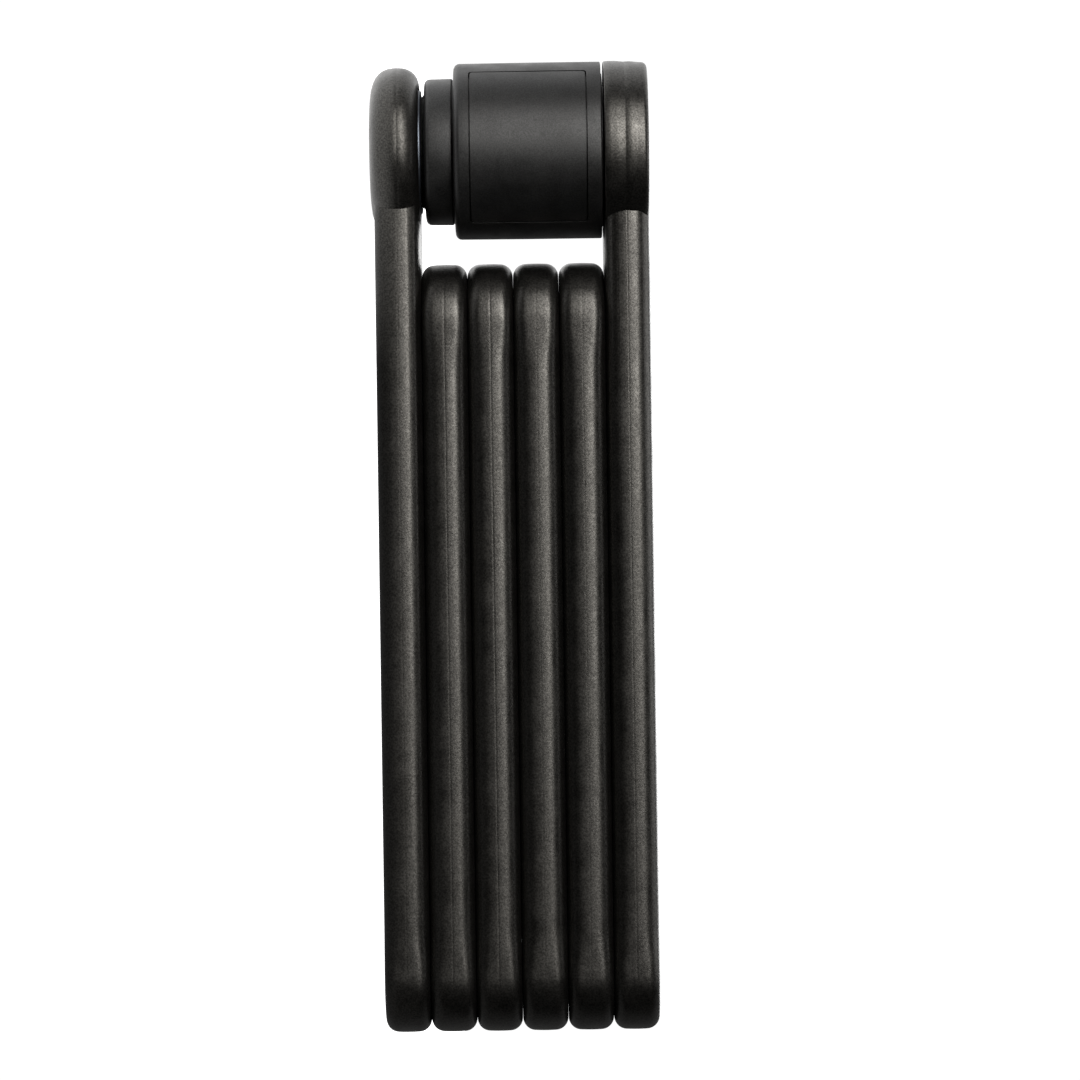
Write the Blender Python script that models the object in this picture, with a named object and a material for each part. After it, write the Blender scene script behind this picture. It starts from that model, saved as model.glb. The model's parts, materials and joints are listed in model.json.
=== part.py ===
"""Folding bike lock: six riveted links, a swivelling lock barrel and its key-driven bolt.

The lock is folded and unlocked. It lies on the outer face of link 1.
Millimetres in the constants below. +X runs from the barrel to the foot pivots,
+Z runs along the pivot axes from link 1 to link 6, Z = 0 is the plane it lies on.
"""
import math

import bmesh
import bpy

MM = 0.001

# links
LINK_W = 26.0
LINK_T = 10.0
LINK_PITCH = 10.08
LINK_EDGE_R = 2.8
LINK_1_Z = 0.9
INNER_CENTRES = 144.0
OUTER_CENTRES = 182.0
CORE_T = 5.0
CORE_WALL = 2.3
CORE_GAP = 0.05

# heads of the two outer links
HEAD_1_R = 18.75
HEAD_6_R = 19.65
CORE_1_HEAD_R = 15.2
CORE_6_HEAD_R = 17.3

# head profiles as (radius, height above the link's lower face)
HEAD_1_PROFILE = [
    (0.0, -0.9), (12.0, -0.9), (15.5, -0.3), (17.2, 0.6), (18.3, 2.25), (HEAD_1_R, 4.5),
    (HEAD_1_R, 6.5), (18.2, 8.15), (17.0, 9.25), (15.2, LINK_T), (0.0, LINK_T),
]
HEAD_6_PROFILE = [
    (0.0, 0.25), (19.3, 0.25), (HEAD_6_R, 0.6), (HEAD_6_R, LINK_T - 2.6), (19.3, LINK_T - 1.3),
    (18.35, LINK_T - 0.38), (17.05, LINK_T - 0.04), (0.0, LINK_T - 0.04),
]

# pivots
RIVET_R = 3.95
RIVET_HOLE_R = 4.1
RIVET_HEAD_R = 6.5
RIVET_HEAD_T = 2.2
HEAD_POCKET_R = 6.9
SPACER_R = 7.2
SPACER_POCKET_R = 7.45

# positions of the pivot axes along X
X_BARREL = HEAD_6_R - (HEAD_6_R + OUTER_CENTRES + LINK_W / 2) / 2
X_FOOT = X_BARREL + OUTER_CENTRES
X_TOP = X_FOOT - INNER_CENTRES

# barrel, stations along Z
STRIKE_Z = (8.45, 11.3)
STRIKE_R = 14.6
SOCKET_R = 5.4
NECK_Z = (11.4, 13.7)
NECK_R = 12.65
COLLAR_Z = (12.1, 18.55)
COLLAR_R = 16.2
SLEEVE_Z = (18.6, 51.0)
SLEEVE_R = 19.5
LABEL_Z = (22.0, 47.8)
LABEL_HALF_DEG = 60.0
LABEL_DEPTH = 0.8
HOUSING_R = 15.9
NOSE_R = 13.0
HOUSING_Z = (13.8, 49.45)
HUB_R = 10.0
HUB_END = 60.0
WASHER_R = 16.9
END_CAP_R = 16.0

# bolt and its drive
BOLT_R = 5.0
SHANK_R = 4.0
BOLT_THROW = 7.0
BOLT_Z = (11.5, 21.2, 34.7)
PIN_R = 1.2
PIN_Z = 32.2
CAM_Z = (21.5, 37.1, 39.6)
CAM_R = 6.6
CAM_BORE_R = 4.15
KEY_TURN_DEG = 90.0

# key cylinder
PLUG_R = 6.2
PLUG_BORE_R = 5.15
PLUG_Z = (39.7, 55.4, 59.7)
KEYWAY = (2.0, 6.6)
CYL_R = 7.8
CYL_BORE_R = 6.32
CYL_Z = (37.3, 59.8)
CYL_PIN_Z = 43.2
DISC_R = 4.95
DISC_T = 1.9
DISC_PITCH = 2.6
DISC_Z = 42.1
DISC_LAG_DEG = (18.0, 36.0, 27.0, 9.0, 32.0)
GATE_R = 4.4
GATE_HALF_DEG = 27.0
SIDEBAR_W = 1.4
SIDEBAR_R = (5.5, 7.0)
SIDEBAR_TRAVEL = 0.8

COLORS = {
    "vinyl": (0.022, 0.021, 0.020, 1.0, 0.55, 0.0),
    "housing_plastic": (0.016, 0.016, 0.016, 1.0, 0.40, 0.0),
    "label": (0.026, 0.026, 0.027, 1.0, 0.30, 0.0),
    "seal": (0.010, 0.010, 0.010, 1.0, 0.75, 0.0),
    "steel": (0.50, 0.50, 0.51, 1.0, 0.32, 1.0),
    "plated": (0.66, 0.68, 0.72, 1.0, 0.22, 1.0),
    "brass": (0.72, 0.53, 0.24, 1.0, 0.30, 1.0),
    "acetal": (0.030, 0.030, 0.030, 1.0, 0.45, 0.0),
}


def clear_scene():
    for obj in list(bpy.data.objects):
        bpy.data.objects.remove(obj, do_unlink=True)
    for mesh in list(bpy.data.meshes):
        bpy.data.meshes.remove(mesh)


def new_collection(name):
    coll = bpy.data.collections.new(name)
    bpy.context.scene.collection.children.link(coll)
    return coll


def material(name):
    mat = bpy.data.materials.get(name)
    if mat is None:
        red, green, blue, alpha, rough, metal = COLORS[name]
        mat = bpy.data.materials.new(name)
        mat.use_nodes = True
        shader = mat.node_tree.nodes["Principled BSDF"]
        shader.inputs["Base Color"].default_value = (red, green, blue, alpha)
        shader.inputs["Roughness"].default_value = rough
        shader.inputs["Metallic"].default_value = metal
        mat.diffuse_color = (red, green, blue, alpha)
    return mat


def make(name, bm, origin, mat=None):
    """Turn a bmesh in millimetres into an object whose origin is on its joint axis."""
    bmesh.ops.recalc_face_normals(bm, faces=bm.faces)
    ox, oy, oz = origin
    for vert in bm.verts:
        vert.co.x = (vert.co.x - ox) * MM
        vert.co.y = (vert.co.y - oy) * MM
        vert.co.z = (vert.co.z - oz) * MM
    mesh = bpy.data.meshes.new(name)
    bm.to_mesh(mesh)
    bm.free()
    obj = bpy.data.objects.new(name, mesh)
    obj.location = (ox * MM, oy * MM, oz * MM)
    if mat is None:
        CUTTERS.objects.link(obj)
        obj.hide_render = True
        obj.display_type = "WIRE"
    else:
        PARTS.objects.link(obj)
        mesh.materials.append(material(mat))
    return obj


def boolean(obj, other, operation="DIFFERENCE"):
    mod = obj.modifiers.new(other.name, "BOOLEAN")
    mod.operation = operation
    mod.solver = "EXACT"
    mod.object = other


def loft(rings):
    """Closed solid through equal-length rings of (x, y, z), capped at both ends."""
    bm = bmesh.new()
    rows = [[bm.verts.new(p) for p in ring] for ring in rings]
    count = len(rows[0])
    for low, high in zip(rows, rows[1:]):
        for i in range(count):
            j = (i + 1) % count
            bm.faces.new((low[i], low[j], high[j], high[i]))
    bm.faces.new(list(reversed(rows[0])))
    bm.faces.new(rows[-1])
    return bm


def lathe(profile, x, y=0.0, count=24):
    """Revolve (r, z) points about the Z axis through (x, y).

    A profile that starts and ends on the axis gives a solid, any other a closed ring.
    """
    bm = bmesh.new()
    rows = []
    for radius, z in profile:
        if radius == 0.0:
            rows.append([bm.verts.new((x, y, z))])
            continue
        ring = []
        for i in range(count):
            a = 2 * math.pi * i / count
            ring.append(bm.verts.new((x + radius * math.cos(a), y + radius * math.sin(a), z)))
        rows.append(ring)
    solid = profile[0][0] == 0.0
    pairs = list(zip(rows, rows[1:]))
    if not solid:
        pairs.append((rows[-1], rows[0]))
    for low, high in pairs:
        for i in range(count):
            j = (i + 1) % count
            if len(low) == 1:
                bm.faces.new((low[0], high[j], high[i]))
            elif len(high) == 1:
                bm.faces.new((low[i], low[j], high[0]))
            else:
                bm.faces.new((low[i], low[j], high[j], high[i]))
    return bm


def cylinder(radius, z0, z1, x, y=0.0, count=24):
    return lathe([(0.0, z0), (radius, z0), (radius, z1), (0.0, z1)], x, y, count)


def tube(inner, outer, z0, z1, x, count=24):
    return lathe([(inner, z0), (outer, z0), (outer, z1), (inner, z1)], x, 0.0, count)


def block(x0, x1, y0, y1, z0, z1):
    low = [(x0, y0, z0), (x1, y0, z0), (x1, y1, z0), (x0, y1, z0)]
    high = [(x, y, z1) for x, y, _ in low]
    return loft([low, high])


def arc_block(r0, r1, a0, a1, z0, z1, x, steps=12):
    """Prism over a ring sector about the barrel axis, angles in degrees."""
    points = []
    for k in range(steps + 1):
        a = math.radians(a0 + (a1 - a0) * k / steps)
        points.append((x + r1 * math.cos(a), r1 * math.sin(a)))
    for k in range(steps, -1, -1):
        a = math.radians(a0 + (a1 - a0) * k / steps)
        points.append((x + r0 * math.cos(a), r0 * math.sin(a)))
    return loft([[(px, py, z0) for px, py in points], [(px, py, z1) for px, py in points]])


def outline(x0, r0, x1, r1, half_w, steps=8, head_steps=18):
    """Outline of a bar with round ends about x0 and x1, r0 may exceed the half width."""
    points = []
    start = math.asin(min(1.0, half_w / r0))
    count = head_steps if r0 > half_w + 0.5 else steps
    span = 2 * math.pi - 2 * start
    for k in range(count + 1):
        a = start + span * k / count
        points.append((x0 + r0 * math.cos(a), r0 * math.sin(a)))
    for k in range(steps + 1):
        a = -math.pi / 2 + math.pi * k / steps
        points.append((x1 + r1 * math.cos(a), r1 * math.sin(a)))
    return points


def bar(x0, r0, x1, r1, half_w, z0, z1, edge=0.0):
    """Bar solid between z0 and z1 with rounded long edges."""
    if edge == 0.0:
        flat = outline(x0, r0, x1, r1, half_w)
        return loft([[(x, y, z0) for x, y in flat], [(x, y, z1) for x, y in flat]])
    rings = []
    for top in (False, True):
        for k in range(4):
            a = math.radians(90 * (k if top else 3 - k) / 3)
            inset = edge * (1 - math.cos(a))
            rise = edge * math.sin(a)
            z = z1 - edge + rise if top else z0 + edge - rise
            flat = outline(x0, r0 - inset, x1, r1 - inset, half_w - inset)
            rings.append([(x, y, z) for x, y in flat])
    return loft(rings)


def link_z(number):
    return LINK_1_Z + (number - 1) * LINK_PITCH


def core_z(number):
    return link_z(number) + (LINK_T - CORE_T) / 2


def build_cover(number):
    """Moulded cover of one link, hollow for its bar, open at the pivots."""
    z0 = link_z(number)
    z1 = z0 + LINK_T
    core0 = core_z(number) - CORE_GAP
    core1 = core0 + CORE_T + 2 * CORE_GAP
    half = LINK_W / 2
    x0 = X_BARREL if number in (1, 6) else X_TOP
    inner_head = {1: CORE_1_HEAD_R, 6: CORE_6_HEAD_R}.get(number, half - CORE_WALL) + CORE_GAP
    inner_half = half - CORE_WALL + CORE_GAP
    origin_x = X_TOP if number in (3, 5) else X_FOOT
    name = "link_%d_cover" % number
    if number in (1, 6):
        shell = bar(X_BARREL, half, X_FOOT, half, half, z0, z1, LINK_EDGE_R)
        cover = make(name, shell, (origin_x, 0.0, z0), "vinyl")
        profile = HEAD_1_PROFILE if number == 1 else HEAD_6_PROFILE
        head = lathe([(r, z0 + z) for r, z in profile], X_BARREL, count=32)
        boolean(cover, make("head_%d_form" % number, head, (0, 0, 0)), "UNION")
    else:
        shell = bar(x0, half, X_FOOT, half, half, z0, z1, LINK_EDGE_R)
        cover = make(name, shell, (origin_x, 0.0, z0), "vinyl")
    cavity = bar(x0, inner_head, X_FOOT, inner_half, inner_half, core0, core1)
    boolean(cover, make("cavity_%d" % number, cavity, (0, 0, 0)))
    for x, upper in pivots(number):
        # the spacer side faces the neighbouring link, the rivet head lies on the other side
        above = SPACER_POCKET_R if upper else HEAD_POCKET_R
        below = HEAD_POCKET_R if upper else SPACER_POCKET_R
        tag = "%d_%s" % (number, "up" if upper else "down")
        middle = (core0 + core1) / 2
        top = cylinder(above, middle, z1 + 1, x, count=16)
        bottom = cylinder(below, z0 - 1, middle, x, count=16)
        boolean(cover, make("pocket_top_" + tag, top, (0, 0, 0)))
        boolean(cover, make("pocket_bottom_" + tag, bottom, (0, 0, 0)))
    if number == 1:
        seat = cylinder(STRIKE_R + 0.1, core1 - 1, z1 + 1, X_BARREL, count=32)
        boolean(cover, make("strike_seat", seat, (0, 0, 0)))
    if number == 6:
        low = cylinder(14.2, z0 - 1, core0 + 1, X_BARREL, count=32)
        high = cylinder(END_CAP_R + 0.2, core1 - 1, z1 + 1, X_BARREL, count=32)
        boolean(cover, make("washer_opening", low, (0, 0, 0)))
        boolean(cover, make("cap_opening", high, (0, 0, 0)))


def pivots(number):
    """Pivot stations of a link as (x, True when the neighbour is above)."""
    found = []
    if number > 1:
        found.append((X_FOOT if number % 2 == 0 else X_TOP, False))
    if number < 6:
        found.append((X_FOOT if number % 2 == 1 else X_TOP, True))
    return found


def build_core(number):
    """Hardened steel bar of one link."""
    z0 = core_z(number)
    z1 = z0 + CORE_T
    half = LINK_W / 2 - CORE_WALL
    x0 = X_BARREL if number in (1, 6) else X_TOP
    head = {1: CORE_1_HEAD_R, 6: CORE_6_HEAD_R}.get(number, half)
    origin_x = X_TOP if number in (3, 5) else X_FOOT
    shape = bar(x0, head, X_FOOT, half, half, z0, z1)
    core = make("link_%d_core" % number, shape, (origin_x, 0.0, z0), "steel")
    for x, upper in pivots(number):
        tag = "%d_%s" % (number, "up" if upper else "down")
        hole = cylinder(RIVET_HOLE_R, z0 - 1, z1 + 1, x, count=16)
        boolean(core, make("rivet_hole_" + tag, hole, (0, 0, 0)))
    if number == 1:
        hole = cylinder(SOCKET_R, z0 - 1, z1 + 1, X_BARREL, count=32)
        boolean(core, make("bolt_socket", hole, (0, 0, 0)))
    if number == 6:
        hole = cylinder(HUB_R + 0.15, z0 - 1, z1 + 1, X_BARREL)
        boolean(core, make("hub_hole", hole, (0, 0, 0)))


def build_pivot(lower):
    """Rivet and spacer that join a link to the next one up."""
    x = X_FOOT if lower % 2 == 1 else X_TOP
    bottom = core_z(lower) - 0.05
    top = core_z(lower + 1) + CORE_T + 0.05
    edge = 0.5
    profile = [
        (0.0, bottom - RIVET_HEAD_T),
        (RIVET_HEAD_R - edge, bottom - RIVET_HEAD_T),
        (RIVET_HEAD_R, bottom - RIVET_HEAD_T + edge),
        (RIVET_HEAD_R, bottom),
        (RIVET_R, bottom),
        (RIVET_R, top),
        (RIVET_HEAD_R, top),
        (RIVET_HEAD_R, top + RIVET_HEAD_T - edge),
        (RIVET_HEAD_R - edge, top + RIVET_HEAD_T),
        (0.0, top + RIVET_HEAD_T),
    ]
    tag = "%d_%d" % (lower, lower + 1)
    make("rivet_" + tag, lathe(profile, x, count=16), (x, 0.0, bottom), "steel")
    z0 = core_z(lower) + CORE_T + 0.05
    z1 = core_z(lower + 1) - 0.05
    ring = tube(RIVET_HOLE_R, SPACER_R, z0, z1, x, 16)
    make("spacer_" + tag, ring, (x, 0.0, z0), "plated")


def build_barrel_outside():
    x = X_BARREL
    axis = (x, 0.0, SLEEVE_Z[0])
    z0, z1 = STRIKE_Z
    profile = [(SOCKET_R, z0), (STRIKE_R, z0), (STRIKE_R, z1 - 0.4), (STRIKE_R - 0.4, z1),
               (SOCKET_R + 0.6, z1), (SOCKET_R, z1 - 0.6)]
    make("strike_plate", lathe(profile, x, count=32), (x, 0.0, z0), "plated")

    z0, z1 = NECK_Z
    profile = [(5.3, z0 + 0.3), (5.6, z0), (NECK_R - 0.3, z0), (NECK_R, z0 + 0.3),
               (NECK_R, z1), (5.3, z1)]
    make("neck_seal", lathe(profile, x), axis, "seal")

    z0, z1 = COLLAR_Z
    profile = [(12.75, z0), (COLLAR_R - 1.2, z0), (COLLAR_R - 0.35, z0 + 0.35),
               (COLLAR_R, z0 + 1.2), (COLLAR_R, z1 - 0.9), (COLLAR_R - 0.7, z1 - 0.7),
               (COLLAR_R - 0.7, z1), (NOSE_R + 0.1, z1), (NOSE_R + 0.1, NECK_Z[1] + 0.05), (12.75, NECK_Z[1] + 0.05)]
    make("collar", lathe(profile, x, count=32), axis, "housing_plastic")

    z0, z1 = SLEEVE_Z
    inner = HOUSING_R + 0.1
    profile = [(inner, z0), (SLEEVE_R - 1.1, z0), (SLEEVE_R - 0.3, z0 + 0.35),
               (SLEEVE_R, z0 + 1.1), (SLEEVE_R, z1 - 0.4), (SLEEVE_R - 0.4, z1),
               (HUB_R + 0.1, z1), (HUB_R + 0.1, z1 - 1.5), (inner, z1 - 1.5)]
    sleeve = make("barrel_sleeve", lathe(profile, x, count=32), axis, "housing_plastic")
    a0 = -90 - LABEL_HALF_DEG
    a1 = -90 + LABEL_HALF_DEG
    floor = SLEEVE_R - LABEL_DEPTH
    pocket = arc_block(floor, SLEEVE_R + 2, a0, a1, LABEL_Z[0], LABEL_Z[1], x, 18)
    boolean(sleeve, make("label_pocket", pocket, (0, 0, 0)))
    plate = arc_block(floor + 0.08, SLEEVE_R - 0.05, a0 + 0.8, a1 - 0.8,
                      LABEL_Z[0] + 0.25, LABEL_Z[1] - 0.25, x, 18)
    make("label_plate", plate, axis, "label")

    z0 = SLEEVE_Z[1] + 0.05
    profile = [(HUB_R + 0.1, z0), (WASHER_R, z0), (WASHER_R, z0 + 0.2), (14.0, z0 + 0.2),
               (14.0, core_z(6) - 0.1), (HUB_R + 0.1, core_z(6) - 0.1)]
    make("swivel_washer", lathe(profile, x), axis, "acetal")

    z0 = core_z(6) + CORE_T + 0.1
    make("retaining_ring", tube(HUB_R + 0.05, 13.0, z0, z0 + 1.0, x), axis, "plated")


def build_housing():
    """Hardened steel body of the barrel, with the hub that link 6 swivels on."""
    x = X_BARREL
    z0, z1 = HOUSING_Z
    profile = [
        (BOLT_R + 0.15, z0),
        (NOSE_R, z0),
        (NOSE_R, SLEEVE_Z[0]),
        (HOUSING_R, SLEEVE_Z[0]),
        (HOUSING_R, z1),
        (HUB_R, z1),
        (HUB_R, HUB_END),
        (CYL_R + 0.05, HUB_END),
        (CYL_R + 0.05, CYL_Z[0] - 0.1),
        (CAM_R + 0.15, CYL_Z[0] - 0.1),
        (CAM_R + 0.15, CAM_Z[0] - 0.15),
        (BOLT_R + 0.15, CAM_Z[0] - 0.15),
    ]
    housing = make("lock_housing", lathe(profile, x), (x, 0.0, z0), "steel")
    low = PIN_Z - BOLT_THROW - PIN_R - 0.2
    for side, y0, y1 in (("front", -7.7, -5.5), ("back", 5.5, 7.7)):
        slot = block(x - PIN_R - 0.1, x + PIN_R + 0.1, y0, y1, low, CYL_Z[0])
        boolean(housing, make("pin_slot_" + side, slot, (0, 0, 0)))
    hole = radial_cylinder(1.3, 6.0, 17.0, CYL_PIN_Z)
    boolean(housing, make("cylinder_pin_hole", hole, (0, 0, 0)))
    make("cylinder_pin", radial_cylinder(1.2, 6.95, 15.8, CYL_PIN_Z), (x, 0.0, CYL_PIN_Z), "steel")


def radial_cylinder(radius, y0, y1, z, count=12):
    """Cylinder along Y through the barrel axis."""
    low = []
    high = []
    for i in range(count):
        a = 2 * math.pi * i / count
        dx = radius * math.cos(a)
        dz = radius * math.sin(a)
        low.append((X_BARREL + dx, y0, z + dz))
        high.append((X_BARREL + dx, y1, z + dz))
    return loft([low, high])


def build_bolt():
    x = X_BARREL
    tip, step, end = BOLT_Z
    profile = [(0.0, tip), (BOLT_R - 0.8, tip), (BOLT_R, tip + 0.8), (BOLT_R, step),
               (SHANK_R, step), (SHANK_R, end), (0.0, end)]
    bolt = make("locking_bolt", lathe(profile, x), (x, 0.0, tip), "plated")
    hole = radial_cylinder(PIN_R + 0.04, -8.0, 8.0, PIN_Z)
    boolean(bolt, make("cross_hole", hole, (0, 0, 0)))
    make("cross_pin", radial_cylinder(PIN_R, -7.5, 7.5, PIN_Z), (x, 0.0, PIN_Z), "steel")


def helix_cutter(start_deg, name):
    """Helical slot that turns KEY_TURN_DEG over the throw of the bolt."""
    mean_r = (CAM_R + CAM_BORE_R) / 2
    rise = -BOLT_THROW
    # the slot runs backwards to the key turn, so that the turning cam draws the pin along
    sweep = -math.radians(KEY_TURN_DEG) * mean_r
    length = math.hypot(rise, sweep)
    ux, uz = sweep / length, rise / length
    half = 1.75
    steps = 9
    bm = bmesh.new()
    rows = []
    for k in range(steps + 1):
        t = -half + (length + 2 * half) * k / steps
        row = []
        for radius, side in ((3.0, 1), (8.0, 1), (8.0, -1), (3.0, -1)):
            s = t * ux - side * half * uz
            z = PIN_Z + t * uz + side * half * ux
            a = math.radians(start_deg) + s / mean_r
            row.append(bm.verts.new((X_BARREL + radius * math.cos(a), radius * math.sin(a), z)))
        rows.append(row)
    for low, high in zip(rows, rows[1:]):
        for i in range(4):
            j = (i + 1) % 4
            bm.faces.new((low[i], low[j], high[j], high[i]))
    bm.faces.new(list(reversed(rows[0])))
    bm.faces.new(rows[-1])
    return make(name, bm, (0, 0, 0))


def build_cylinder():
    x = X_BARREL
    z0, z1, z2 = CAM_Z
    profile = [(0.0, z1 - 1.4), (CAM_BORE_R, z1 - 1.4), (CAM_BORE_R, z0), (CAM_R, z0),
               (CAM_R, z1), (PLUG_R, z1), (PLUG_R, z2), (0.0, z2)]
    cam = make("cam_sleeve", lathe(profile, x), (x, 0.0, z0), "steel")
    boolean(cam, helix_cutter(90.0, "helix_back"))
    boolean(cam, helix_cutter(-90.0, "helix_front"))

    z0, z1, z2 = PLUG_Z
    profile = [(0.0, z1), (PLUG_BORE_R, z1), (PLUG_BORE_R, z0), (PLUG_R, z0),
               (PLUG_R, z2 - 0.3), (PLUG_R - 0.3, z2), (0.0, z2)]
    plug = make("key_plug", lathe(profile, x), (x, 0.0, z0), "brass")
    half_t, half_h = KEYWAY[0] / 2, KEYWAY[1] / 2
    keyway = block(x - half_h, x + half_h, -half_t, half_t, z1 - 1, z2 + 1)
    boolean(plug, make("plug_keyway", keyway, (0, 0, 0)))
    reach = 5 * DISC_PITCH
    half_s = SIDEBAR_W / 2 + 0.1
    slot = block(x - half_s, x + half_s, -8.0, -4.6, DISC_Z - 0.2, DISC_Z + reach)
    boolean(plug, make("sidebar_slot", slot, (0, 0, 0)))

    z0, z1 = CYL_Z
    body = make("cylinder_body", tube(CYL_BORE_R, CYL_R, z0, z1, x), (x, 0.0, z0), "brass")
    boolean(body, make("body_pin_hole", radial_cylinder(1.3, 6.85, 9.0, CYL_PIN_Z), (0, 0, 0)))
    boolean(body, ramp_cutter())

    for index, lag in enumerate(DISC_LAG_DEG):
        z0 = DISC_Z + index * DISC_PITCH
        disc = make("tumbler_%d" % (index + 1), cylinder(DISC_R, z0, z0 + DISC_T, x, count=24),
                    (x, 0.0, z0), "brass")
        half_d = half_h + 0.05
        slot = block(x - half_d, x + half_d, -half_t - 0.1, half_t + 0.1, z0 - 1, z0 + DISC_T + 1)
        boolean(disc, make("disc_keyway_%d" % (index + 1), slot, (0, 0, 0)))
        gate = arc_block(GATE_R, DISC_R + 1, -90 + lag - GATE_HALF_DEG, -90 + lag + GATE_HALF_DEG,
                         z0 - 1, z0 + DISC_T + 1, x, 6)
        boolean(disc, make("disc_gate_%d" % (index + 1), gate, (0, 0, 0)))

    half_s = SIDEBAR_W / 2
    inner, outer = SIDEBAR_R
    shape = block(x - half_s, x + half_s, -outer, -inner, DISC_Z, DISC_Z + reach - 0.3)
    make("sidebar", shape, (x, 0.0, DISC_Z), "steel")


def ramp_cutter():
    """Groove whose wall pushes the sidebar inwards as the plug turns."""
    z0 = DISC_Z - 0.3
    z1 = DISC_Z + 5 * DISC_PITCH + 0.1
    outer = []
    inner = []
    steps = 12
    for k in range(steps + 1):
        deg = -10.0 + (KEY_TURN_DEG + 20.0) * k / steps
        part = min(max(deg, 0.0), KEY_TURN_DEG) / KEY_TURN_DEG
        radius = SIDEBAR_R[1] + 0.2 - SIDEBAR_TRAVEL * part
        a = math.radians(-90.0 + deg)
        outer.append((X_BARREL + radius * math.cos(a), radius * math.sin(a)))
        inner.append((X_BARREL + 6.0 * math.cos(a), 6.0 * math.sin(a)))
    points = outer + list(reversed(inner))
    low = [(px, py, z0) for px, py in points]
    high = [(px, py, z1) for px, py in points]
    return make("sidebar_ramp", loft([low, high]), (0, 0, 0))


def build_end_cap():
    """Cap over the hub, with a swinging cover over the keyway."""
    x = X_BARREL
    z0 = HUB_END + 0.1
    z1 = link_z(6) + LINK_T
    floor = z1 - 0.6
    profile = [(4.6, z0), (END_CAP_R, z0), (END_CAP_R, z1 - 0.2), (END_CAP_R - 0.2, z1),
               (15.1, z1), (15.1, floor), (4.6, floor)]
    cap = make("end_cap", lathe(profile, x, count=32), (x, 0.0, z0), "housing_plastic")
    pin_x = x + 7.6
    hole = cylinder(1.1, z0 - 1, z1 + 1, pin_x, count=16)
    boolean(cap, make("cover_pin_hole", hole, (0, 0, 0)))
    make("dust_cover_pin", cylinder(1.05, z0 + 0.02, z1 - 0.05, pin_x, count=16),
         (pin_x, 0.0, z0), "steel")
    points = []
    for k in range(17):
        a = math.radians(60 + 240 * k / 16)
        points.append((x + 5.2 * math.cos(a), 5.2 * math.sin(a)))
    for k in range(9):
        a = math.radians(-70 + 140 * k / 8)
        points.append((pin_x + 2.6 * math.cos(a), 2.6 * math.sin(a)))
    low = [(px, py, floor + 0.05) for px, py in points]
    high = [(px, py, z1 - 0.05) for px, py in points]
    plate = make("dust_cover", loft([low, high]), (pin_x, 0.0, floor), "plated")
    hole = cylinder(1.2, z0 - 1, z1 + 1, pin_x, count=16)
    boolean(plate, make("dust_cover_hole", hole, (0, 0, 0)))


clear_scene()
PARTS = new_collection("folding_bike_lock")
CUTTERS = new_collection("cutters")
for n in range(1, 7):
    build_cover(n)
    build_core(n)
for n in range(1, 6):
    build_pivot(n)
build_barrel_outside()
build_housing()
build_bolt()
build_cylinder()
build_end_cap()
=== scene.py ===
import json
import math

import bmesh
import bpy
from mathutils import Matrix, Vector


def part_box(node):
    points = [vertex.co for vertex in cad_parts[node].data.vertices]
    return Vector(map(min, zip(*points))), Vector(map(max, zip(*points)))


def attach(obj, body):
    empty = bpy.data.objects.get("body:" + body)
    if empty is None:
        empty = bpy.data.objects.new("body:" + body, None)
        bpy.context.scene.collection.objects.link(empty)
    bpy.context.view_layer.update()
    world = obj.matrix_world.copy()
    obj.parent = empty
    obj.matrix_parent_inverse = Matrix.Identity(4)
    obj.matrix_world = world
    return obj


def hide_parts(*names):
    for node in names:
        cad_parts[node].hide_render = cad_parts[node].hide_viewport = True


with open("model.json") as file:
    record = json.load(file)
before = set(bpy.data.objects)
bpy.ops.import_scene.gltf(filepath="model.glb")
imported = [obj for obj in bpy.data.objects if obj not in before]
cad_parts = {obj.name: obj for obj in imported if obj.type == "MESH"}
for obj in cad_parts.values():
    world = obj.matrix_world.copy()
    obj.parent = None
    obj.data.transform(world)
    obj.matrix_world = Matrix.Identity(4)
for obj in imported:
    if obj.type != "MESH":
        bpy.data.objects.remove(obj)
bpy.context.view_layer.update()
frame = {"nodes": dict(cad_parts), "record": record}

MM = 0.001

# ---------------------------------------------------------------- sizes, in millimetres
HEADED = (1, 6)              # links that end in a round head at the barrel
HEAD_REACH = 19.65           # from the barrel's axis to the near end of link 6
HALF = 13.0                  # half the width of a link
COATING = 2.3                # coating over the long edges of a steel bar
CORE_GAP = 0.05              # air between a bar and its cover
EDGE, CROWN = 2.8, 40.0      # corner and side radius at a link's round ends
MID_EDGE, MID_CROWN = 3.7, 13.0   # the same along its straight sides
RAMP = 11.0                  # length over which the crown of the sides fades in
LIP = 0.13                   # half the width of the parting groove
VALLEY = 0.03                # half the width of its bottom
PARTING = {1: 0.006, 2: 0.013, 3: 0.015, 4: 0.005, 5: 0.005, 6: 0.009}   # its depth

SPACER_RECESS, RIVET_RECESS = 7.45, 6.9
STRIKE_RECESS, BEARING_RECESS, CAP_RECESS = 14.7, 14.2, 16.2

RIVET_R, SHANK_R, RIVET_HEAD = 6.5, 3.95, 2.2
CENTRE_R, CENTRE_RIM, CENTRE_DEPTH = 1.9, 2.4, 0.35    # dimple in a rivet's head
SPACER_BORE, SPACER_R = 4.1, 7.2

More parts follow.
